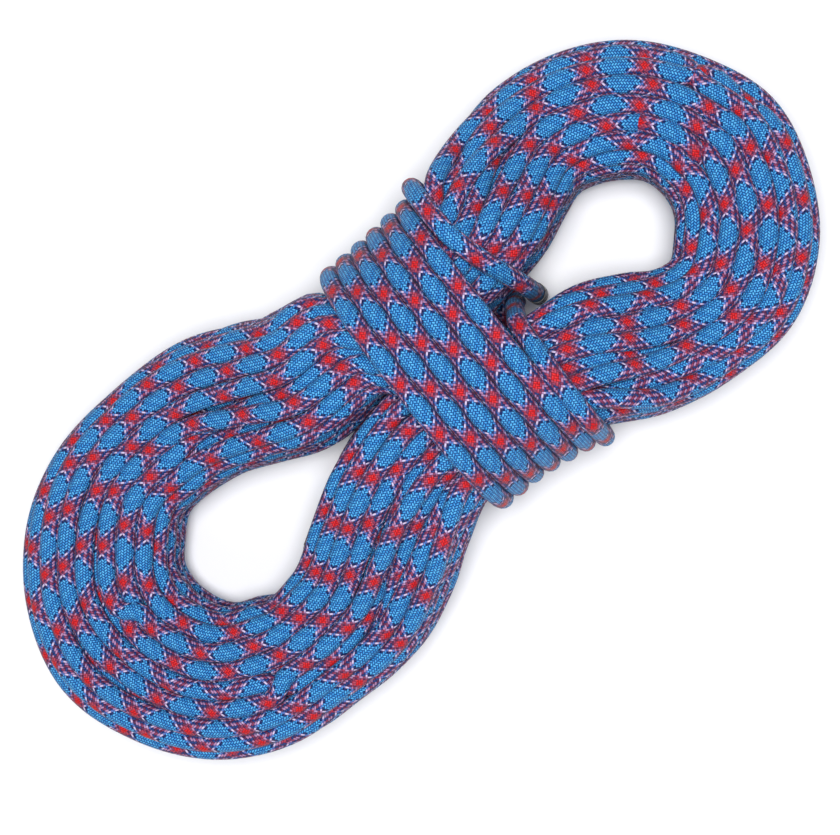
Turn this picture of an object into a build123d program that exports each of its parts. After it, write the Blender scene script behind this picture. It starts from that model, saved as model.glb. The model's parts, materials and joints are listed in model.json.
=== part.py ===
"""A 60 m kernmantle dynamic rope, 10 mm thick, in a figure-eight hank with its waist wrapped.

Millimetres. +X runs along the hank, +Z is up, and the origin is under the middle of the hank on the
surface that it rests on. The coiled rope is given as closed solids of its outer shape. The stretch
that isn't coiled is a plain tube, and both ends of the rope are built up as they are made: braided
sheath, core strands, marker tape, sleeve and fused tip.
"""
import math
import os

from build123d import *

os.makedirs("parts", exist_ok=True)

# ---- driving dimensions ----------------------------------------------------------------------
ROPE_D = 10.0  # rope diameter
GAP = 0.25  # air between neighbouring lengths of rope

# the bundle of crossed arms under the wraps: x, y of its middle, width
WAIST_SECTIONS = (
    (-3.0, 1.9, 132.4),
    (28.0, 1.9, 132.4),
    (59.0, 0.5, 139.0),
)
WAIST_BOTTOM = ROPE_D + 2 * GAP
WAIST_TOP = 112.0
WAIST_CORNER = 45.0

# the full wraps round it: y of the middle and half the width of each wrap's centre-line
WRAP_GIRTHS = (
    (1.9, 71.8),
    (1.9, 71.5),
    (1.9, 71.5),
    (1.5, 72.3),
    (0.8, 73.5),
    (0.2, 74.7),
)
WRAP_FIRST_X = 3.3
WRAP_PITCH = 10.1

# Both lobes, from the waist out along the +Y arm, round the end and back along the -Y arm:
# x, y, heading, width, underside, top. An underside below zero is trimmed off flat at the floor.
ARM_CORNER = 27.0
TRIM = -1.5
LEFT_LOBE = (
    (-3.0, 42.5, 180.0, 65.5, 11.0, 110.0),
    (-34.0, 44.0, 163.0, 84.0, 8.0, 107.0),
    (-56.4, 53.5, 158.0, 76.5, 4.0, 97.0),
    (-86.6, 65.3, 162.0, 75.0, TRIM, 85.0),
    (-120.5, 68.3, 180.0, 72.0, TRIM, 77.0),
    (-147.0, 65.5, 202.5, 74.0, TRIM, 74.5),
    (-170.5, 50.5, 225.0, 78.7, TRIM, 72.0),
    (-190.6, 28.7, 247.5, 83.8, TRIM, 69.5),
    (-197.6, 0.0, 270.0, 86.0, TRIM, 67.0),
    (-189.1, -28.4, 292.5, 84.8, TRIM, 69.5),
    (-171.4, -51.0, 315.0, 81.2, TRIM, 72.0),
    (-146.3, -64.6, 337.5, 77.0, TRIM, 74.5),
    (-120.5, -68.0, 360.0, 71.0, TRIM, 77.0),
    (-86.5, -65.2, 378.0, 79.5, TRIM, 85.0),
    (-57.3, -51.1, 382.0, 82.5, 4.0, 97.0),
    (-34.0, -39.5, 377.0, 89.0, 8.0, 107.0),
    (-3.0, -31.0, 360.0, 77.0, 11.0, 110.0),
)
RIGHT_LOBE = (
    (59.0, 39.4, 0.0, 65.6, 11.0, 110.0),
    (75.0, 41.8, 14.0, 63.4, 10.8, 104.0),
    (91.0, 47.8, 20.0, 70.0, 7.0, 101.0),
    (112.0, 56.5, 19.0, 69.0, 1.0, 91.0),
    (136.3, 61.5, 0.0, 66.0, TRIM, 80.0),
    (159.6, 56.8, -22.5, 67.0, TRIM, 78.5),
    (181.1, 45.2, -45.0, 69.6, TRIM, 77.0),
    (196.6, 24.8, -67.5, 70.0, TRIM, 75.5),
    (203.4, 0.0, -90.0, 74.0, TRIM, 74.0),
    (198.2, -25.5, -112.5, 72.0, TRIM, 75.5),
    (183.6, -47.6, -135.0, 72.6, TRIM, 77.0),
    (161.9, -62.1, -157.5, 69.5, TRIM, 78.5),
    (136.3, -62.3, -180.0, 67.5, TRIM, 80.0),
    (112.7, -54.5, -199.0, 74.5, 1.0, 91.0),
    (92.6, -44.2, -200.0, 80.0, 7.0, 101.0),
    (76.0, -39.5, -194.0, 66.0, 10.8, 106.0),
    (59.0, -37.5, -180.0, 69.5, 11.0, 110.0),
)

# the last turn of rope, from under the waist: round the lower right arm, down through the lobe, under
# and over the upper right arm and down into the lobe again, as far as the rope's outer end
TAIL_ROUTE = (
    (64.2, 42.0, 5.3),
    (64.4, -77.9, 5.3),
    (64.6, -77.9, 115.6),
    (65.6, 1.5, 115.6),
    (75.8, 1.5, 5.3),
    (75.0, 44.0, 5.3),
    (69.0, 80.2, 5.3),
    (67.4, 79.4, 113.6),
    (69.6, 36.0, 113.4),
    (86.4, 2.2, 104.0),
    (86.4, 2.2, 62.0),
)
TAIL_RADII = (29.0, 29.0, 31.0, 20.0, 120.0, 18.0, 22.0, 60.0, 22.0)

# the rope's ends
SHEATH_BORE_D = 7.4
CORE_D = 1.7
CORE_RING_R = 2.75
CORE_INNER_R = 1.02
CORE_SLOTS = 9  # places in the ring of core strands; the marker tape takes one of them
CORE_INNER = 3
TAPE_WIDTH = 1.5
TAPE_THICKNESS = 0.2
SLEEVE_D = 10.8
SLEEVE_LENGTH = 24.0
TIP_LENGTH = 3.0
TIP_EDGE = 1.6

OUTER_END_LENGTH = 48.0
OUTER_END_START = TAIL_ROUTE[-1]
INNER_END_LENGTH = 44.0  # the inner end lies on the surface, in the fork of the left lobe
INNER_END_START = (-60.6, -3.9, SLEEVE_D / 2 + 0.1)
INNER_END_HEADING = 210.4


# ---- helpers ---------------------------------------------------------------------------------
def heading_plane(x, y, z, heading):
    """A section plane: its normal is the heading, its local X points left of it, its local Y is up."""
    a = math.radians(heading)
    forward = Vector(math.cos(a), math.sin(a), 0)
    left = Vector(-math.sin(a), math.cos(a), 0)
    return Plane(origin=(x, y, z), x_dir=left, z_dir=forward)


def export(part, name):
    part.label = name
    export_step(part, f"parts/{name}.step")


def rope_end(name, start, direction, length):
    """One end of the rope, from a cut across it at start to its fused tip, as the separate pieces."""
    across = Vector(direction.Z, direction.X, direction.Y)
    cut = Plane(origin=start, x_dir=across.cross(direction), z_dir=direction)
    sheath_length = length - TIP_LENGTH

    with BuildPart() as sheath:
        with BuildSketch(cut):
            Circle(ROPE_D / 2)
            Circle(SHEATH_BORE_D / 2, mode=Mode.SUBTRACT)
        extrude(amount=sheath_length)
    export(sheath.part, f"{name}_sheath")

    slot_angle = 360 / CORE_SLOTS
    places = [(CORE_RING_R, slot_angle * (i + 0.5)) for i in range(1, CORE_SLOTS)]
    places += [(CORE_INNER_R, 360 / CORE_INNER * i) for i in range(CORE_INNER)]
    for i, (r, angle) in enumerate(places):
        a = math.radians(angle)
        with BuildPart() as strand:
            with BuildSketch(cut):
                with Locations((r * math.cos(a), r * math.sin(a))):
                    Circle(CORE_D / 2)
            extrude(amount=sheath_length)
        export(strand.part, f"{name}_core_strand_{i + 1:02d}")

    a = math.radians(slot_angle / 2)
    with BuildPart() as tape:
        with BuildSketch(cut):
            with Locations((CORE_RING_R * math.cos(a), CORE_RING_R * math.sin(a))):
                Rectangle(TAPE_WIDTH, TAPE_THICKNESS, rotation=slot_angle / 2)
        extrude(amount=sheath_length)
    export(tape.part, f"{name}_marker_tape")

    with BuildPart() as sleeve:
        with BuildSketch(cut.offset(sheath_length - SLEEVE_LENGTH)):
            Circle(SLEEVE_D / 2)
            Circle(ROPE_D / 2, mode=Mode.SUBTRACT)
        extrude(amount=SLEEVE_LENGTH)
    export(sleeve.part, f"{name}_sleeve")

    with BuildPart() as tip:
        with BuildSketch(cut.offset(sheath_length)):
            Circle(ROPE_D / 2)
        extrude(amount=TIP_LENGTH)
        fillet(tip.faces().sort_by(Axis(start, direction))[-1].edges(), TIP_EDGE)
    export(tip.part, f"{name}_fused_tip")


# ---- the two lobes of the hank -----------------------------------------------------------------
for lobe_name, sections in (("left_lobe_coil", LEFT_LOBE), ("right_lobe_coil", RIGHT_LOBE)):
    with BuildPart() as lobe:
        for x, y, heading, w, z0, z1 in sections:
            with BuildSketch(heading_plane(x, y, (z0 + z1) / 2, heading)):
                RectangleRounded(w, z1 - z0, ARM_CORNER)
        loft()
        split(bisect_by=Plane.XY, keep=Keep.TOP)
    export(lobe.part, lobe_name)

# ---- the arms crossed at the waist -------------------------------------------------------------
WAIST_Z = (WAIST_BOTTOM + WAIST_TOP) / 2
with BuildPart() as waist:
    for x, y, w in WAIST_SECTIONS:
        with BuildSketch(heading_plane(x, y, WAIST_Z, 0)):
            RectangleRounded(w, WAIST_TOP - WAIST_BOTTOM, WAIST_CORNER)
    loft(ruled=True)
export(waist.part, "waist_crossing")

# ---- the wraps round the waist -----------------------------------------------------------------
WRAP_OFFSET = ROPE_D / 2 + GAP
WRAP_Z = (WAIST_TOP - WAIST_BOTTOM) / 2 + WRAP_OFFSET
for i, (wrap_y, half_width) in enumerate(WRAP_GIRTHS):
    wrap_plane = heading_plane(WRAP_FIRST_X + i * WRAP_PITCH, wrap_y, WAIST_Z, 0)
    with BuildPart() as wrap:
        with BuildLine(wrap_plane) as girth:
            FilletPolyline(
                (-half_width, WRAP_Z),
                (half_width, WRAP_Z),
                (half_width, -WRAP_Z),
                (-half_width, -WRAP_Z),
                radius=WAIST_CORNER + WRAP_OFFSET,
                close=True,
            )
        with BuildSketch(Plane(origin=girth.line @ 0, z_dir=girth.line % 0)):
            Circle(ROPE_D / 2)
        sweep()
    export(wrap.part, f"waist_wrap_{i + 1}")

# ---- the last turn -----------------------------------------------------------------------------
with BuildPart() as tail:
    with BuildLine() as tail_line:
        FilletPolyline(*TAIL_ROUTE, radius=TAIL_RADII)
    with BuildSketch(Plane(origin=tail_line.line @ 0, z_dir=tail_line.line % 0)):
        Circle(ROPE_D / 2)
    sweep()
export(tail.part, "tail_turn")
print("radii of the last turn's bends, mm:", TAIL_RADII)

# ---- the rope's two ends -----------------------------------------------------------------------
rope_end("outer_end", OUTER_END_START, Vector(0, 0, -1), OUTER_END_LENGTH)
inner_heading = math.radians(INNER_END_HEADING)
rope_end(
    "inner_end",
    INNER_END_START,
    Vector(math.cos(inner_heading), math.sin(inner_heading), 0),
    INNER_END_LENGTH,
)
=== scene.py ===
"""The looks of a 60 m dynamic climbing rope in a figure-eight hank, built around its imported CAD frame.

The rope is one cord: its inner end, 55 turns of the figure eight, worked out by a loop and packed as
rope packs, six wraps round the waist, and its tail, which is tucked into the eye of the right lobe.
Lengths in the tables are in millimetres. Blender's are in metres, in the frame of the CAD.
"""
import json
import math

import bpy
import numpy as np
from mathutils import Matrix, Vector

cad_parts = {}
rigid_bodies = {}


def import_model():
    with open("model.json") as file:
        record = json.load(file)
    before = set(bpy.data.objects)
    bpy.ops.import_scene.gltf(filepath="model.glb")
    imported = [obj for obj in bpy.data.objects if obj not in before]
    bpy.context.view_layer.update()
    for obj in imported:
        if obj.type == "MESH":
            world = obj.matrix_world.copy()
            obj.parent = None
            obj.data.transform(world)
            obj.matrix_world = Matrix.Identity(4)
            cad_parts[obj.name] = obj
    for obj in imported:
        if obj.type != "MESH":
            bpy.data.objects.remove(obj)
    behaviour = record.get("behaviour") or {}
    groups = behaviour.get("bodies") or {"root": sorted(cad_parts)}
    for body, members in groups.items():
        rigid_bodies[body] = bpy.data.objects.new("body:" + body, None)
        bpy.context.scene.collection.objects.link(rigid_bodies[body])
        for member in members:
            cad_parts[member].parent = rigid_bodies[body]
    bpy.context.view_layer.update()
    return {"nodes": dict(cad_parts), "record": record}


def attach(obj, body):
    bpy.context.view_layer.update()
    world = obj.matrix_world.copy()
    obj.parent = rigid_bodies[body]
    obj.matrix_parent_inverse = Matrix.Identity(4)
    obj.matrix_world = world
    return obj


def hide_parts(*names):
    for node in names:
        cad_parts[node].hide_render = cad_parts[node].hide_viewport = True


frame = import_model()

MM = 0.001
ROPE_D = 10.0
ROPE_R = ROPE_D / 2
rng = np.random.default_rng(11)

# ---- the hank: the CAD model's sizes, with the waist and some sections moved a little ------------

TURNS = 55
WRAPS = 6
STATIONS = 200  # sections round one turn
CONTACT = 9.9  # the spacing that packing aims for between two strands' centres

WAIST_X0 = 4.0
WAIST_X1 = 66.0
GIRTH_HALF_HEIGHT = 56.0
GIRTH_Z = 61.25
GIRTH_CORNER = 50.25
# y of the middle and half the width of each wrap's centre-line
WRAP_GIRTHS = ((1.9, 71.8), (1.9, 71.5), (1.9, 71.5), (1.5, 72.3), (0.8, 73.5), (0.2, 74.7))
WRAP_FIRST_X = 10.7
WRAP_PITCH = 10.1
WRAP_POINTS = 24

# Both lobes, from the waist out along the +Y arm, round the end and back along the -Y arm:
# x, y, heading, width, underside, top.
ARM_CORNER = 27.0
LEFT_LOBE = (
    (-3.0, 42.5, 180.0, 65.5, 11.0, 110.0),
    (-34.0, 44.0, 163.0, 84.0, 8.0, 110.0),
    (-56.4, 53.5, 158.0, 76.5, 4.0, 99.0),
    (-86.6, 65.3, 162.0, 75.0, 0.0, 85.0),
    (-120.5, 68.3, 180.0, 72.0, 0.0, 77.0),
    (-147.0, 65.5, 202.5, 74.0, 0.0, 74.5),
    (-171.3, 51.3, 225.0, 80.7, 0.0, 72.0),
    (-190.6, 28.7, 247.5, 83.8, 0.0, 69.5),
    (-198.0, 0.0, 270.0, 89.0, 0.0, 67.0),
    (-189.1, -28.4, 292.5, 84.8, 0.0, 69.5),
    (-171.4, -51.0, 315.0, 81.2, 0.0, 72.0),
    (-146.0, -63.5, 337.5, 79.0, 0.0, 74.5),
    (-120.5, -68.0, 360.0, 71.0, 0.0, 77.0),
    (-86.5, -65.2, 378.0, 79.5, 0.0, 85.0),
    (-57.3, -51.1, 382.0, 82.5, 4.0, 99.0),
    (-34.0, -39.5, 377.0, 91.0, 8.0, 110.0),
    (-3.0, -29.5, 360.0, 74.0, 11.0, 110.0),
)
RIGHT_LOBE = (
    (59.0, 39.4, 0.0, 65.6, 11.0, 110.0),
    (75.0, 41.8, 14.0, 63.4, 10.8, 110.0),
    (91.0, 47.8, 20.0, 70.0, 7.0, 107.0),
    (112.0, 56.0, 19.0, 68.5, 1.0, 94.0),
    (136.3, 61.5, 0.0, 66.0, 0.0, 80.0),
    (159.6, 56.8, -22.5, 67.0, 0.0, 78.5),
    (180.6, 44.7, -45.0, 68.0, 0.0, 77.0),
    (196.8, 24.8, -67.5, 66.5, 0.0, 75.5),
    (204.6, 0.0, -90.0, 71.5, 0.0, 74.0),
    (199.0, -25.5, -112.5, 70.5, 0.0, 75.5),
    (183.6, -47.6, -135.0, 72.6, 0.0, 77.0),
    (161.9, -62.1, -157.5, 69.5, 0.0, 78.5),
    (136.3, -61.6, -180.0, 69.0, 0.0, 80.0),
    (112.7, -54.2, -199.0, 75.0, 1.0, 93.0),
    (92.6, -44.2, -200.0, 81.0, 7.0, 106.0),
    (76.0, -39.5, -194.0, 66.0, 10.8, 110.0),
    (59.0, -37.5, -180.0, 69.5, 11.0, 110.0),
)
# Sections through the crossing, from the upper left arm to the lower right one: x, y, width.
CROSSING = (
    (8.0, 31.0, 78.0),
    (19.0, 17.0, 102.0),
    (28.0, 1.0, 126.0),
    (37.0, -14.0, 104.0),
    (48.0, -28.0, 84.0),
)
CROSSING_Z = (11.0, 111.5)
MIRROR_Y = 2.0  # the second pass of the crossing is the first one mirrored about half this y

# How the strands are packed.
SLOT_COLUMNS = (6, 7, 7, 7, 8, 7, 7, 6)
SLOT_HALF = (32.5, 35.0)
SLOT_CORNER = 22.0
PACK_STEPS = 170
WANDER = 3.5  # how far a strand strays from its slot
WANDER_WAVES = 130.0  # length of the waves in which it strays
GIRTH_REACH = (6.0, 4.0)  # how far past each end of the waist the wraps' girth still holds the strands
NEAR_FIXED = (-40.0, 125.0)  # from and to which x the strands are kept off the wraps and the tail
FIXED_EVERY = 8  # steps from one clearing of the wraps and the tail to the next
FIXED_LAST = 4  # the last steps, which all clear them
LATE = 0.9  # the share of the steps after which the strands are smoothed less and parted more
SETTLE = 0.03  # how far the strands sink in a step
LAST_ARM_X = -36.0  # the last turn of the coil ends here, on its way back to the waist,
LAST_ARM_FROM = 150  # after this station
SPLINE_STEPS = 2  # points read from the spline for each of its control points

# The rope's route where it isn't coiled.
INNER_ROUTE = (
    (-95.9, -24.7, 5.5),
    (-60.6, -3.9, 5.5),
    (-38.0, 5.0, 7.0),
    (-18.0, 8.0, 14.0),
)
LEAD_IN_ROUTE = (
    (-12.0, 66.0, 6.0),
    (0.0, 48.0, 5.3),
    (4.5, 24.0, 5.3),
)
TAIL_ROUTE = (
    (66.6, -30.0, 5.3),
    (67.4, -77.9, 5.3),
    (67.8, -77.9, 115.6),
    (71.0, 1.5, 115.6),
    (76.4, 1.5, 5.3),
    (75.6, 44.0, 5.3),
    (73.2, 80.0, 5.3),
    (73.2, 79.2, 68.0),
    (73.1, 78.6, 88.0),
    (73.0, 71.0, 102.5),
    (72.8, 56.5, 110.0),
    (73.4, 42.0, 112.5),
    (77.4, 26.0, 108.0),
    (84.0, 9.0, 90.0),
    (86.4, 2.2, 74.0),
    (86.4, 2.2, 15.6),
)

# ---- the braid -----------------------------------------------------------------------------------

CARRIERS = 20
LEAD = 30.0
RINGS_PER_LEAD = 6
RING_POINTS = 16
WRAP_LEADS = 14.4
LEAD_SKIP = 0.16  # the spread of a crossing's count of leads before it is rounded, in leads
STAR_SCATTER = 0.19  # how far its star lies from the others' line, in leads
ROLL_WAVES = 180.0  # length of the waves in which the rope rolls about its own line
ROLL_SWING = 0.65  # how far it rolls, in radians


def turn_rows():
    """The sections of one whole turn: x, y, direction of the left side, width, underside, top. The turn
    starts in the crossing, goes round the right lobe anticlockwise, crosses again and goes round the left
    lobe clockwise."""
    z0, z1 = CROSSING_Z
    rows = [(x, y, 90.0, w, z0, z1) for x, y, w in CROSSING]
    rows += [(x, y, h + 270.0, w, a, b) for x, y, h, w, a, b in reversed(RIGHT_LOBE)]
    rows += [(x, MIRROR_Y - y, 270.0, w, z0, z1) for x, y, w in reversed(CROSSING)]
    rows += [(x, y, h - 90.0, w, a, b) for x, y, h, w, a, b in reversed(LEFT_LOBE)]
    return np.array(rows)


def closed_curve(rows, count):
    """count even steps along the closed smooth line through the rows, and its whole length."""
    n = len(rows)
    gaps = np.linalg.norm(np.roll(rows, -1, 0)[:, :2] - rows[:, :2], axis=1)
    knots = np.concatenate([[0.0], np.cumsum(gaps)])
    slopes = (np.roll(rows, -1, 0) - np.roll(rows, 1, 0)) / (gaps + np.roll(gaps, 1))[:, None]
    dense = []
    for i in range(n):
        a, b, j = rows[i], rows[(i + 1) % n], (i + 1) % n
        t = np.linspace(0, 1, 40, endpoint=False)[:, None]
        h00, h10, h01, h11 = 2*t**3 - 3*t**2 + 1, t**3 - 2*t**2 + t, 3*t**2 - 2*t**3, t**3 - t**2
        dense.append(h00 * a + h10 * gaps[i] * slopes[i] + h01 * b + h11 * gaps[i] * slopes[j])
    dense = np.concatenate(dense + [rows[:1]])
    run = np.concatenate([[0.0], np.cumsum(np.linalg.norm(np.diff(dense[:, :2], axis=0), axis=1))])
    at = np.linspace(0, run[-1], count, endpoint=False)
    return np.stack([np.interp(at, run, dense[:, c]) for c in range(rows.shape[1])], 1), run[-1]


def hold_inside(p, half_u, half_z, corner):
    """Moves the points that lie outside a rounded rectangle to its edge."""
    half = np.stack(np.broadcast_arrays(half_u, half_z), -1)
    flat = half - corner[..., None]
    out = np.maximum(np.abs(p) - flat, 0)
    far = np.maximum(np.linalg.norm(out, axis=-1, keepdims=True), 1e-9)
    kept = np.where(far > corner[..., None], out * corner[..., None] / far, out)
    return np.sign(p) * np.where(out > 0, flat + kept, np.abs(p))


def part_strands(p, contact):
    """One step that pushes apart the strands that overlap in each section. p is section, strand, (u, z)."""
    d = p[:, :, None, :] - p[:, None, :, :]
    far = np.sqrt((d * d).sum(-1)) + np.eye(p.shape[1], dtype=p.dtype) * 99
    push = np.where(far < contact, (contact - far) / far, 0)
    touching = np.maximum((push > 0).sum(2, keepdims=True), 1)
    return (d * push[..., None]).sum(2) * 0.5 * np.minimum(1.0, 2.2 / touching)


def slots():
    """Where the strands lie in an arm's section, in the order in which the turns were laid."""
    half_u, half_z = SLOT_HALF
    corner = np.array([SLOT_CORNER])
    points = []
    for c, rows in enumerate(SLOT_COLUMNS):
        u = half_u * (2 * c / (len(SLOT_COLUMNS) - 1) - 1)
        column = [(u, half_z * (2 * (r + 0.5) / rows - 1)) for r in range(rows)]
        points += column if c % 2 == 0 else column[::-1]
    p = np.array([points]) + rng.normal(0, 1.2, (1, len(points), 2))
    for _ in range(300):
        p = p + part_strands(p, CONTACT)
        p = hold_inside(p, half_u, half_z, corner)
    return p[0] / (half_u, half_z)


def slow_noise(count, step, waves):
    """Smooth noise along the rope, one value a step, of about unit height."""
    knots = rng.normal(0, 1, (int(count * step / waves) + 4, 2))
    at = np.arange(count) * step / waves
    i = at.astype(int)
    t = (at - i)[:, None]
    t = t * t * (3 - 2 * t)
    return knots[i] * (1 - t) + knots[i + 1] * t


def girth(p):
    """The point at p turns along the wraps' line, from the underside's middle and rising on the -Y side."""
    middle = np.interp(p - 0.5, range(WRAPS), [g[0] for g in WRAP_GIRTHS])
    half_width = np.interp(p - 0.5, range(WRAPS), [g[1] for g in WRAP_GIRTHS])
    straight_y = half_width - GIRTH_CORNER
    straight_z = GIRTH_HALF_HEIGHT - GIRTH_CORNER
    bend = math.pi / 2 * GIRTH_CORNER
    s = (p % 1.0) * 4 * (straight_y + straight_z + bend)
    y, z, heading = middle, GIRTH_Z - GIRTH_HALF_HEIGHT, math.pi
    for run, bent in ((straight_y, 0), (bend, 1), (2 * straight_z, 0), (bend, 1), (2 * straight_y, 0),
                      (bend, 1), (2 * straight_z, 0), (bend, 1), (straight_y, 0)):
        part = min(max(s, 0.0), run)
        if bent:
            swing = part / GIRTH_CORNER
            side = heading - math.pi / 2
            y += GIRTH_CORNER * (math.cos(side) - math.cos(side - swing))
            z += GIRTH_CORNER * (math.sin(side) - math.sin(side - swing))
            heading -= swing
        else:
            y += part * math.cos(heading)
            z += part * math.sin(heading)
        s -= part
    return WRAP_FIRST_X + WRAP_PITCH * (p - 0.5), y, z


def wrap_points():
    """The six wraps, as a helix on the girth."""
    return [girth(n / WRAP_POINTS) for n in range(WRAPS * WRAP_POINTS - 1)]


def spline_points(controls, steps):
    """The points of the quadratic spline with these control points, read from Blender's NURBS spline."""
    data = bpy.data.curves.new("route", "CURVE")
    data.dimensions = "3D"
    data.resolution_u = steps
    spline = data.splines.new("NURBS")
    spline.points.add(len(controls) - 1)
    spline.points.foreach_set("co", np.column_stack([controls, np.ones(len(controls))]).ravel())
    spline.order_u = 3
    spline.use_endpoint_u = True
    holder = bpy.data.objects.new("route", data)
    mesh = bpy.data.meshes.new_from_object(holder)
    line = np.empty(len(mesh.vertices) * 3)
    mesh.vertices.foreach_get("co", line)
    bpy.data.objects.remove(holder)
    bpy.data.curves.remove(data)
    bpy.data.meshes.remove(mesh)
    return line.reshape(-1, 3)


def coil_points():
    """The turns' points, in order along the rope, packed in the arms' sections."""
    rows, length = closed_curve(turn_rows(), STATIONS)
    x, y, left, width, z0, z1 = rows.T
    side = np.stack([np.cos(np.radians(left)), np.sin(np.radians(left))], 1)
    half_u = (width / 2 - ROPE_R).astype(np.float32)[:, None]
    half_z = ((z1 - z0) / 2 - ROPE_R).astype(np.float32)[:, None]
    mid_z = ((z0 + z1) / 2).astype(np.float32)
    corner = np.minimum(np.full_like(half_u, ARM_CORNER - ROPE_R), np.minimum(half_u, half_z))

    place = slots()
    after = np.vstack([place[1:], place[-1:]])
    late = np.cumsum(rng.normal(0, 0.05, TURNS))
    late -= np.linspace(late[0], late[-1], TURNS)
    station = np.arange(STATIONS)[:, None]
    t = station / STATIONS + late[None, :] * np.sin(np.pi * station / STATIONS)
    t = np.clip(t, 0, 1)[..., None]
    p = (place[None] * (1 - t) + after[None] * t) * np.stack([half_u, half_z], -1)
    wander = slow_noise(TURNS * STATIONS, length / STATIONS, WANDER_WAVES).reshape(TURNS, STATIONS, 2)
    p = (p + WANDER * wander.transpose(1, 0, 2)).astype(np.float32)

    waist = (x > WAIST_X0 - GIRTH_REACH[0]) & (x < WAIST_X1 + GIRTH_REACH[1])
    girth_corner = np.full((waist.sum(), 1), GIRTH_CORNER - ROPE_D)
    girth_at = (x[waist] - WRAP_FIRST_X) / WRAP_PITCH
    girth_mid = np.interp(girth_at, range(WRAPS), [g[0] for g in WRAP_GIRTHS])[:, None]
    girth_half = np.interp(girth_at, range(WRAPS), [g[1] for g in WRAP_GIRTHS])[:, None] - ROPE_D
    fixed = spline_points(np.array(wrap_points() + list(TAIL_ROUTE)), 3)
    near = np.nonzero((x > NEAR_FIXED[0]) & (x < NEAR_FIXED[1]))[0]

    def world(p, at):
        flat = np.stack([x, y], 1)[at][:, None, :] + p[at][..., :1] * side[at][:, None, :]
        return np.concatenate([flat, (p[at][..., 1] + mid_z[at][:, None])[..., None]], -1)

    def girth_hold(p):
        w = world(p, waist)
        lean = side[waist][:, None, 1]
        q = np.stack([w[..., 1] - girth_mid, w[..., 2] - GIRTH_Z], -1)
        q = hold_inside(q, girth_half, GIRTH_HALF_HEIGHT - ROPE_D, girth_corner)
        across = (q[..., 0] + girth_mid - y[waist][:, None]) / lean
        p[waist] = np.stack([across, q[..., 1] + GIRTH_Z - mid_z[waist][:, None]], -1)

    def clear_fixed(p):
        for m in near:
            w = world(p, [m])[0]
            d = w[:, None, :] - fixed[None]
            far = np.sqrt((d * d).sum(-1))
            i = far.argmin(1)
            gap = far[np.arange(TURNS), i]
            hit = np.nonzero(gap < CONTACT)[0]
            if len(hit):
                away = d[hit, i[hit]] / gap[hit, None] * (CONTACT - gap[hit, None])
                p[m, hit, 0] += away[:, :2] @ side[m]
                p[m, hit, 1] += away[:, 2]

    def smooth(p, amount):
        chain = p.transpose(1, 0, 2).reshape(-1, 2)
        mean = chain.copy()
        mean[1:-1] = (chain[:-2] + chain[2:]) / 2
        chain = chain + (mean - chain) * amount
        return chain.reshape(TURNS, STATIONS, 2).transpose(1, 0, 2).copy()

    steps = PACK_STEPS
    for n in range(steps):
        early = n / steps < LATE
        for _ in range(2):
            p = smooth(p, 0.5 if early else 0.25)
        p[..., 1] -= SETTLE
        for _ in range(2 if early else 3):
            p = p + part_strands(p, np.float32(CONTACT))
            p = hold_inside(p, half_u, half_z, corner).astype(np.float32)
        if n % FIXED_EVERY == FIXED_EVERY - 1 or n > steps - FIXED_LAST:
            clear_fixed(p)
        girth_hold(p)
    whole = world(p, slice(None))
    whole[..., 2] = np.maximum(whole[..., 2], ROPE_R)
    return whole.transpose(1, 0, 2).reshape(-1, 3)


def even_rings(line, wraps_from, wraps_to, crossings):
    """Rings along the line, six a lead. Each lead is stretched or closed up a little. The stars of
    neighbouring turns come to the waist nearly in line, scattered by a random amount, and step by the
    same amount from wrap to wrap."""
    run = np.concatenate([[0.0], np.cumsum(np.linalg.norm(np.diff(line, axis=0), axis=1))])
    marks = [(0.0, 0.0)]
    for at in crossings:
        s, lead = marks[-1]
        whole = round(lead + (run[at] - s) / LEAD + rng.normal(0, LEAD_SKIP)) + rng.normal(0, STAR_SCATTER)
        marks.append((run[at], whole))
    s, lead = marks[-1]
    start = round(lead + (run[wraps_from] - s) / LEAD)
    marks.append((run[wraps_from], start))
    marks.append((run[wraps_to], start + WRAP_LEADS * (WRAPS - 1 / WRAP_POINTS)))
    marks.append((run[-1], marks[-1][1] + (run[-1] - run[wraps_to]) / LEAD))
    marks = np.array(marks)
    leads = np.arange(int(marks[-1, 1] * RINGS_PER_LEAD) + 1) / RINGS_PER_LEAD
    at = np.interp(leads, marks[:, 1], marks[:, 0])
    return np.stack([np.interp(at, run, line[:, c]) for c in range(3)], 1), at


def ring_frames(rings, facing, roll):
    """Two directions across the rope at each ring. They don't spin, but drift to keep the first at the
    angle roll from facing."""
    tangent = np.gradient(rings, axis=0)
    tangent /= np.linalg.norm(tangent, axis=1, keepdims=True)
    normal = np.empty_like(tangent)
    start = np.cross(tangent[0], (0.0, 0.0, 1.0))
    normal[0] = np.cross(start / np.linalg.norm(start), tangent[0])
    for i in range(len(rings) - 1):
        n = normal[i] - tangent[i + 1] * (normal[i] @ tangent[i + 1])
        normal[i + 1] = n / math.sqrt(n @ n)
    across = np.cross(tangent, normal)
    want = np.arctan2((facing * across).sum(1), (facing * normal).sum(1))
    clear = np.abs((facing * tangent).sum(1)) < 0.8
    index = np.arange(len(rings))
    want = np.interp(index, index[clear], np.unwrap(want[clear])) + roll
    for _ in range(3):
        want = np.convolve(np.pad(want, 12, mode="edge"), np.ones(25) / 25, mode="valid")
    c, s = np.cos(want)[:, None], np.sin(want)[:, None]
    return normal * c + across * s, across * c - normal * s


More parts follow.
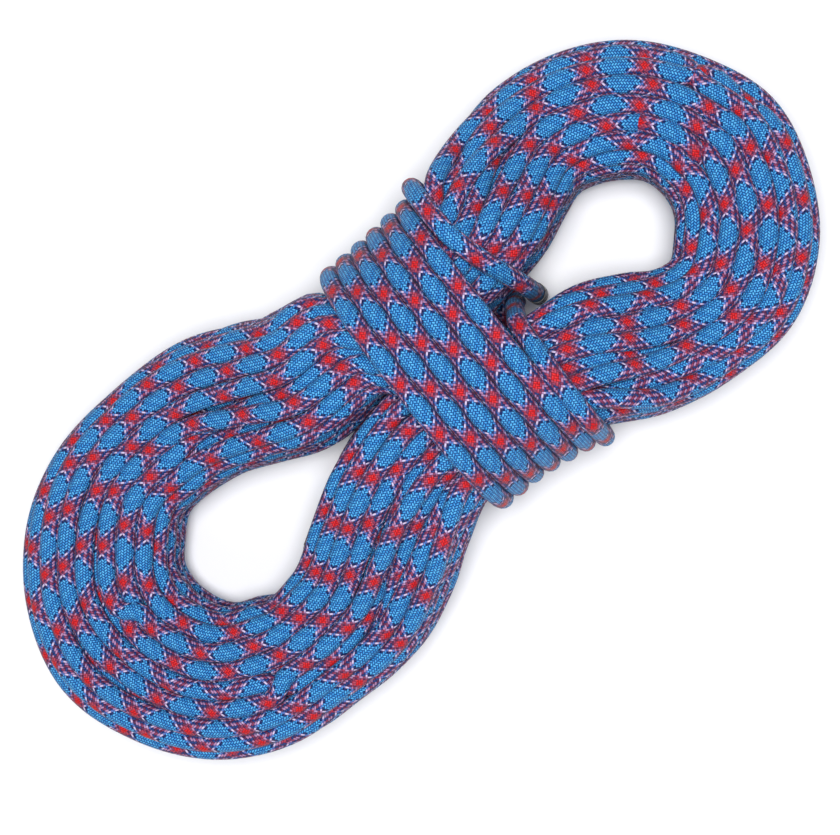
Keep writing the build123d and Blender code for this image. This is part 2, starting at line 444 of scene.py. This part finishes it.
def rope_object(rings, first, second):
    """The rope's sheath as a tube with a map of its braid: one lead along, once round across."""
    count = len(rings)
    turn = np.arange(RING_POINTS) * 2 * math.pi / RING_POINTS
    spoke = first[:, None, :] * np.cos(turn)[None, :, None] + second[:, None, :] * np.sin(turn)[None, :, None]
    verts = rings[:, None, :] + ROPE_R * spoke
    ring = np.arange(count - 1)[:, None] * RING_POINTS
    here = np.arange(RING_POINTS)[None]
    following = (here + 1) % RING_POINTS
    ahead = ring + RING_POINTS
    quads = np.stack([ring + here, ring + following, ahead + following, ahead + here], -1)
    faces = quads.reshape(-1, 4)
    mesh = bpy.data.meshes.new("rope")
    mesh.vertices.add(count * RING_POINTS)
    mesh.vertices.foreach_set("co", (verts * MM).ravel())
    mesh.loops.add(faces.size)
    mesh.loops.foreach_set("vertex_index", faces.ravel())
    mesh.polygons.add(len(faces))
    mesh.polygons.foreach_set("loop_start", np.arange(len(faces)) * 4)
    along = (np.arange(count - 1) % RINGS_PER_LEAD)[:, None] / RINGS_PER_LEAD
    around = np.broadcast_to(here, (count - 1, RING_POINTS)) / RING_POINTS
    u0 = np.broadcast_to(along, around.shape)
    u1, v1 = u0 + 1 / RINGS_PER_LEAD, around + 1 / RING_POINTS
    uv = np.stack([u0, around, u0, v1, u1, v1, u1, around], -1)
    layer = mesh.uv_layers.new(name="OFBake")
    layer.data.foreach_set("uv", uv.ravel())
    mesh.update(calc_edges=True)
    mesh.validate()
    mesh.polygons.foreach_set("use_smooth", np.ones(len(mesh.polygons), dtype=bool))
    piece = bpy.data.objects.new("rope", mesh)
    bpy.context.collection.objects.link(piece)
    return piece


# ---- materials -----------------------------------------------------------------------------------

def srgb(r, g, b):
    """A colour given as 0 to 255 values, in Blender's linear numbers."""
    def linear(c):
        c /= 255
        return c / 12.92 if c <= 0.04045 else ((c + 0.055) / 1.055) ** 2.4
    return (linear(r), linear(g), linear(b), 1.0)


class Nodes:
    """A material whose nodes are added one call at a time."""

    def __init__(self, name, **surface):
        self.material = bpy.data.materials.new(name)
        self.material.use_nodes = True
        self.tree = self.material.node_tree
        self.shader = self.tree.nodes["Principled BSDF"]
        for socket, value in surface.items():
            self.shader.inputs[socket.replace("_", " ")].default_value = value

    def plug(self, value, socket):
        if isinstance(value, bpy.types.NodeSocket):
            self.tree.links.new(value, socket)
        else:
            socket.default_value = value

    def node(self, kind, output=0, settings=None, **inputs):
        node = self.tree.nodes.new(kind)
        for name, value in (settings or {}).items():
            setattr(node, name, value)
        for name, value in inputs.items():
            self.plug(value, node.inputs[name.replace("_", " ")])
        return node.outputs[output]

    def math(self, operation, a, b=0.0, c=0.0):
        node = self.tree.nodes.new("ShaderNodeMath")
        node.operation = operation
        for value, socket in zip((a, b, c), node.inputs):
            self.plug(value, socket)
        return node.outputs[0]

    def ramp(self, at, stops, constant=False):
        node = self.tree.nodes.new("ShaderNodeValToRGB")
        node.color_ramp.interpolation = "CONSTANT" if constant else "LINEAR"
        elements = node.color_ramp.elements
        while len(elements) < len(stops):
            elements.new(0.5)
        for element, (place, colour) in zip(elements, stops):
            element.position = place
            element.color = colour
        self.plug(at, node.inputs[0])
        return node.outputs[0]

    def mix(self, part, a, b, blend="MIX"):
        node = self.tree.nodes.new("ShaderNodeMix")
        node.data_type = "RGBA"
        node.blend_type = blend
        for value, socket in ((part, node.inputs[0]), (a, node.inputs[6]), (b, node.inputs[7])):
            self.plug(value, socket)
        return node.outputs[2]

    def bump(self, height, distance, strength=1.0):
        node = self.tree.nodes.new("ShaderNodeBump")
        node.inputs["Distance"].default_value = distance
        node.inputs["Strength"].default_value = strength
        self.plug(height, node.inputs["Height"])
        self.tree.links.new(node.outputs[0], self.shader.inputs["Normal"])


WHITE = srgb(198, 184, 218)
EDGE = srgb(84, 116, 190)
RED = srgb(206, 20, 30)
PINK = srgb(172, 58, 82)
LILAC = srgb(170, 126, 168)
ROSE = srgb(132, 52, 88)
MAROON = srgb(84, 34, 76)
DARK_BLUE = srgb(22, 52, 116)
NAVY = srgb(2, 36, 98)
BLUES = (srgb(72, 162, 222), srgb(52, 146, 212), srgb(86, 178, 232))


def sheath_material():
    """A braid of 20 carriers each way, over two and under two, with one band of colour each way: three red
    carriers, with a rose and a white one at each side and navy beside them. Where the two bands cross they
    make a red star, and where a band crosses blue it looks purple, speckled light and dark. The braid
    repeats every lead."""
    m = Nodes("rope_sheath", Roughness=0.55, Specular_IOR_Level=0.3, Sheen_Weight=0.06, Sheen_Roughness=0.4)
    uv = m.node("ShaderNodeUVMap", settings={"uv_map": "OFBake"})
    split = m.tree.nodes.new("ShaderNodeSeparateXYZ")
    m.tree.links.new(uv, split.inputs[0])
    u, v = split.outputs[0], split.outputs[1]
    a = m.math("MULTIPLY_ADD", m.math("ADD", u, v), CARRIERS, 3.5)
    b = m.math("MULTIPLY_ADD", m.math("SUBTRACT", u, v), CARRIERS, 3.5 + 2 * CARRIERS)
    i, j = m.math("FLOOR", a), m.math("FLOOR", b)
    apart = m.math("SUBTRACT", i, j)
    over = m.math("LESS_THAN", m.math("FLOORED_MODULO", apart, 4.0), 1.5)
    own = m.math("FLOORED_MODULO", m.math("MULTIPLY_ADD", over, apart, j), CARRIERS)
    under = m.math("MULTIPLY_ADD", over, m.math("SUBTRACT", j, i), i)
    other = m.math("FLOORED_MODULO", under, CARRIERS)
    fleck = m.math("FLOOR", m.math("DIVIDE", m.math("FLOORED_MODULO", apart, 20.0), 4.0))
    step = m.math("MULTIPLY_ADD", own, 2.0, fleck)
    dark = m.math("LESS_THAN", m.math("FLOORED_MODULO", step, 5.0), 1.5)
    place = m.math("DIVIDE", m.math("ADD", own, 0.5), CARRIERS)

    def by_own(*stops):
        return m.ramp(place, [(n / CARRIERS, colour) for n, colour in stops], constant=True)

    blue = [(8 + n, BLUES[(n * 5 + n // 3) % 3]) for n in range(11)]
    on_blue = m.mix(
        dark,
        by_own((0, WHITE), (1, LILAC), (6, WHITE), (7, NAVY), *blue, (19, NAVY)),
        by_own((0, WHITE), (1, MAROON), (2, ROSE), (5, MAROON), (6, WHITE), (7, NAVY), *blue, (19, NAVY)))
    on_red = m.mix(
        dark,
        by_own((0, ROSE), (2, RED), (5, ROSE), (7, DARK_BLUE)),
        by_own((0, LILAC), (1, PINK), (2, RED), (5, PINK), (6, LILAC), (7, MAROON)))
    on_rose = by_own((0, ROSE), (1, MAROON), (2, PINK), (5, MAROON), (6, ROSE), (7, DARK_BLUE))
    on_white = by_own((0, LILAC), (1, ROSE), (2, PINK), (5, ROSE), (6, LILAC), (7, EDGE))
    near_red = m.math("COMPARE", other, 3.0, 1.5)
    near_rose = m.math("COMPARE", other, 3.0, 2.5)
    near_white = m.math("COMPARE", other, 3.0, 3.5)
    yarn = m.mix(near_white, on_blue, m.mix(near_rose, on_white, m.mix(near_red, on_rose, on_red)))

    across = m.math("FRACT", m.math("MULTIPLY_ADD", over, m.math("SUBTRACT", a, b), b))
    first = m.math("FLOORED_MODULO", m.math("ADD", m.math("SUBTRACT", i, b), 1.0), 4.0)
    second = m.math("FLOORED_MODULO", m.math("SUBTRACT", j, a), 4.0)
    along = m.math("MULTIPLY_ADD", over, m.math("SUBTRACT", first, second), second)
    swell = m.math("SUBTRACT", 1.0, m.math("POWER", m.math("SUBTRACT", along, 1.0), 2.0))
    crown = m.math("SUBTRACT", 1.0, m.math("POWER", m.math("MULTIPLY_ADD", across, 2.0, -1.0), 2.0))
    rise = m.math("MULTIPLY_ADD", m.math("MAXIMUM", swell, 0.0), 0.7, 0.3)
    height = m.math("MULTIPLY", m.math("SQRT", crown), rise)
    # painted shade: the yarns' colour is multiplied darker and bluer towards the gaps between them, where
    # shade falls; soft is a lighter painted shade for the band's carriers and where they cross. The same
    # height also drives the bump.
    painted_gap_shade = m.ramp(height, [(0.2, (0.0, 0.1, 0.24, 1)), (0.6, (0.1, 0.32, 0.5, 1)), (0.88, (1, 1, 1, 1))])
    soft = m.ramp(height, [(0.1, (0.3, 0.2, 0.3, 1)), (0.75, (1, 1, 1, 1))])
    banded = m.math("MAXIMUM", m.math("COMPARE", own, 3.0, 3.5), near_white)
    colour = m.mix(1.0, yarn, m.mix(banded, painted_gap_shade, soft), "MULTIPLY")
    m.plug(colour, m.shader.inputs["Base Color"])
    m.bump(height, 0.0004)
    return m.material


def core_material():
    """White strands of twisted polyamide yarns."""
    m = Nodes("core_strands", Roughness=0.7, Sheen_Weight=0.2)
    where = m.node("ShaderNodeNewGeometry", 0)
    diagonal = {"bands_direction": "DIAGONAL"}
    wave = m.node("ShaderNodeTexWave", 1, diagonal, Vector=where, Scale=900.0, Distortion=1.5)
    white = m.ramp(wave, [(0.0, srgb(150, 148, 140)), (0.6, srgb(238, 236, 226))])
    m.plug(white, m.shader.inputs["Base Color"])
    m.bump(wave, 0.0001)
    return m.material


def tape_material():
    """A yellow woven tape."""
    m = Nodes("marker_tape", Roughness=0.65, Sheen_Weight=0.2)
    where = m.node("ShaderNodeNewGeometry", 0)
    weave = m.node("ShaderNodeTexChecker", 1, Vector=where, Scale=2500.0)
    yellow = m.ramp(weave, [(0.0, srgb(190, 160, 40)), (1.0, srgb(226, 200, 80))])
    m.plug(yellow, m.shader.inputs["Base Color"])
    m.bump(weave, 0.00005)
    return m.material


def sleeve_material():
    """A black shrunk tube, rubbed paler in places, with the braid below showing through as faint bumps."""
    m = Nodes("end_sleeve", Specular_IOR_Level=0.45)
    where = m.node("ShaderNodeNewGeometry", 0)
    rounded = {"feature": "SMOOTH_F1"}
    lumps = m.node("ShaderNodeTexVoronoi", 0, rounded, Vector=where, Scale=700.0, Smoothness=0.6)
    wear = m.node("ShaderNodeTexNoise", 0, Vector=where, Scale=260.0, Detail=5.0, Roughness=0.6)
    black = m.ramp(wear, [(0.35, srgb(22, 22, 25)), (0.75, srgb(48, 48, 52))])
    m.plug(black, m.shader.inputs["Base Color"])
    m.plug(m.math("MULTIPLY_ADD", wear, 0.3, 0.3), m.shader.inputs["Roughness"])
    m.bump(m.math("MULTIPLY_ADD", wear, 0.3, lumps), 0.0003)
    return m.material


def tip_material():
    """Sheath and core melted together: dark blue with white streaks, glassy where it ran smooth."""
    m = Nodes("fused_tip", Specular_IOR_Level=0.5)
    where = m.node("ShaderNodeNewGeometry", 0)
    swirl = m.node("ShaderNodeTexNoise", 0, Vector=where, Scale=420.0, Detail=4.0, Distortion=1.4)
    melted = [(0.35, srgb(18, 36, 70)), (0.55, srgb(40, 84, 130)), (0.75, srgb(170, 176, 190))]
    m.plug(m.ramp(swirl, melted), m.shader.inputs["Base Color"])
    m.plug(m.math("MULTIPLY_ADD", swirl, 0.4, 0.12), m.shader.inputs["Roughness"])
    m.bump(swirl, 0.0006)
    return m.material


# ---- the rope ------------------------------------------------------------------------------------

coil = coil_points()
last_turn = coil[-STATIONS:]
late_stations = np.arange(STATIONS) > LAST_ARM_FROM
back_at_waist = (last_turn[:, 0] > LAST_ARM_X) & (last_turn[:, 1] > 0) & late_stations
coil = coil[: len(coil) - STATIONS + np.nonzero(back_at_waist)[0][0]]
wraps = wrap_points()
controls = np.concatenate([INNER_ROUTE, coil, LEAD_IN_ROUTE, wraps, TAIL_ROUTE])
line = spline_points(controls, SPLINE_STEPS)
middle = (WAIST_X0 + WAIST_X1) / 2
crossed = np.nonzero((coil[:-1, 0] - middle) * (coil[1:, 0] - middle) <= 0)[0] + len(INNER_ROUTE)
first_wrap = len(INNER_ROUTE) + len(coil) + len(LEAD_IN_ROUTE)
last_wrap = first_wrap + len(wraps) - 1
wraps_from, wraps_to = (first_wrap - 1) * SPLINE_STEPS, (last_wrap - 1) * SPLINE_STEPS
rings, at = even_rings(line, wraps_from, wraps_to, (crossed - 1) * SPLINE_STEPS)

run = np.concatenate([[0.0], np.cumsum(np.linalg.norm(np.diff(line, axis=0), axis=1))])
facing = np.tile((0.0, 0.0, 1.0), (len(rings), 1))
on_wraps = (at >= run[wraps_from]) & (at <= run[(last_wrap + 5) * SPLINE_STEPS])
outward = rings[on_wraps] * (0, 1, 1) - (0, 0, GIRTH_Z)
facing[on_wraps] = outward / np.linalg.norm(outward, axis=1, keepdims=True)
drift = slow_noise(len(rings), LEAD / RINGS_PER_LEAD, ROLL_WAVES)[:, 0]
roll = np.where(on_wraps, 0.0, ROLL_SWING * drift)
first, second = ring_frames(rings, facing, roll)
rope = rope_object(rings, first, second)
rope.data.materials.append(sheath_material())

soft = [n for n in frame["nodes"] if n.endswith(("_coil", "_sheath")) or n.startswith(("waist_", "tail_"))]
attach(rope, "root")
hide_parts(*soft)

looks = {
    "core": core_material(),
    "marker_tape": tape_material(),
    "end_sleeve": sleeve_material(),
    "fused_tip": tip_material(),
}
for part in frame["record"]["subparts"]:
    material = looks.get(part["material_slot"])
    if material:
        node = bpy.data.objects[part["node"]]
        node.data.materials.clear()
        node.data.materials.append(material)

# ---- floor, light and camera ---------------------------------------------------------------------

floor_mesh = bpy.data.meshes.new("floor")
FLOOR = 6.0
corners = [(-FLOOR, -FLOOR, 0), (FLOOR, -FLOOR, 0), (FLOOR, FLOOR, 0), (-FLOOR, FLOOR, 0)]
floor_mesh.from_pydata(corners, [], [(0, 1, 2, 3)])
floor = bpy.data.objects.new("floor", floor_mesh)
bpy.context.collection.objects.link(floor)
paper = Nodes("floor_paper", Roughness=0.9, Base_Color=srgb(240, 240, 242))
floor_mesh.materials.append(paper.material)

FOOT = Vector((0.1013, -0.0673, 0.0))
CAMERA_HEIGHT = 0.95
AIM = Vector((0.000, -0.010, 0.05))
CAMERA_ROLL = 39.7
LENS = 75.4
SENSOR = 36.0

camera_data = bpy.data.cameras.new("camera")
camera = bpy.data.objects.new("camera", camera_data)
bpy.context.collection.objects.link(camera)
camera.location = FOOT + Vector((0, 0, CAMERA_HEIGHT))
camera.rotation_mode = "QUATERNION"
view = (AIM - camera.location).normalized()
along_x = Vector((1, 0, 0)) - view * view.x
along_x.normalize()
up_x = along_x.cross(view) * -1
turned = math.radians(CAMERA_ROLL)
right = along_x * math.cos(turned) + view.cross(along_x) * math.sin(turned)
up = right.cross(view)
camera.rotation_quaternion = Matrix((right, up, -view)).transposed().to_quaternion()
camera_data.sensor_width = SENSOR
camera_data.lens = LENS
bpy.context.scene.camera = camera


def area_light(name, place, aim, size, power):
    data = bpy.data.lights.new(name, "AREA")
    data.shape = "DISK"
    data.size = size
    data.energy = power
    light = bpy.data.objects.new(name, data)
    light.location = place
    light.rotation_mode = "QUATERNION"
    light.rotation_quaternion = (Vector(aim) - Vector(place)).to_track_quat("-Z", "Y")
    bpy.context.collection.objects.link(light)


HANK_MIDDLE = (0, 0, 0.05)
area_light("key", (0.15, -0.05, 1.5), HANK_MIDDLE, size=0.6, power=26)
area_light("fill", (-0.9, -0.6, 1.1), HANK_MIDDLE, size=1.0, power=4)
world = bpy.data.worlds.new("world")
world.use_nodes = True
sky = world.node_tree.nodes["Background"]
sky.inputs["Color"].default_value = (0.9, 0.95, 1.0, 1)
sky.inputs["Strength"].default_value = 0.16
bpy.context.scene.world = world
bpy.context.scene.view_settings.view_transform = "Standard"
